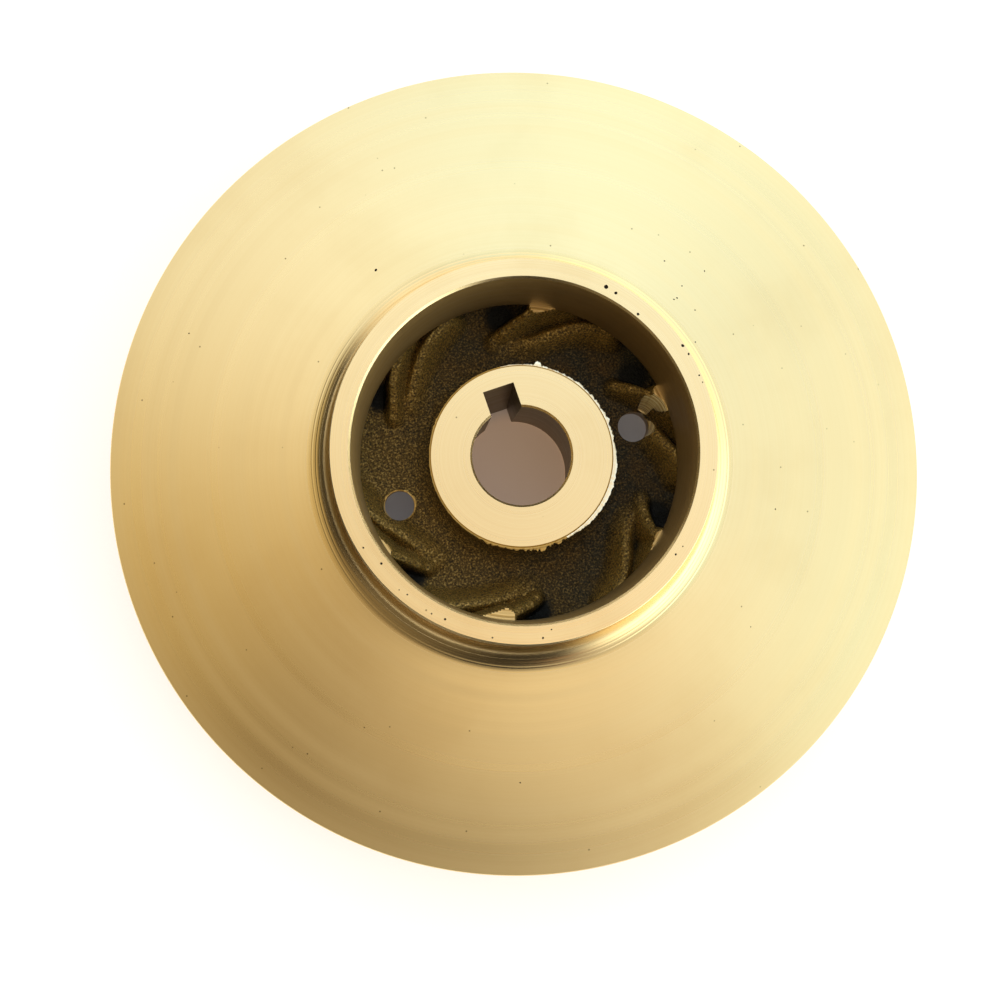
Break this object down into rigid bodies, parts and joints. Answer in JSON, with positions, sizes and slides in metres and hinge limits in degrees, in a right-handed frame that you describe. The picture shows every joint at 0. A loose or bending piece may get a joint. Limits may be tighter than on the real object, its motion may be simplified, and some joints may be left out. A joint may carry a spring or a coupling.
{
  "type": "centrifugal pump impeller",
  "caption": "Closed pump impeller cast in one piece: two shrouds with curved vanes between, turned wear rings, tapered keyed hub and balance holes.",
  "frame": {"origin": "on the shaft axis, in the back face of the hub that the impeller stands on", "axes": "+Z along the shaft towards the suction eye; +Y through the keyway; +X through a balance hole"},
  "size_m": [0.21, 0.21, 0.0537],
  "materials": {
    "impeller": "fine-turned outside, sand-cast in the waterway"
  },
  "bodies": {
    "root": {"impeller": "impeller"}
  },
  "joints": []
}
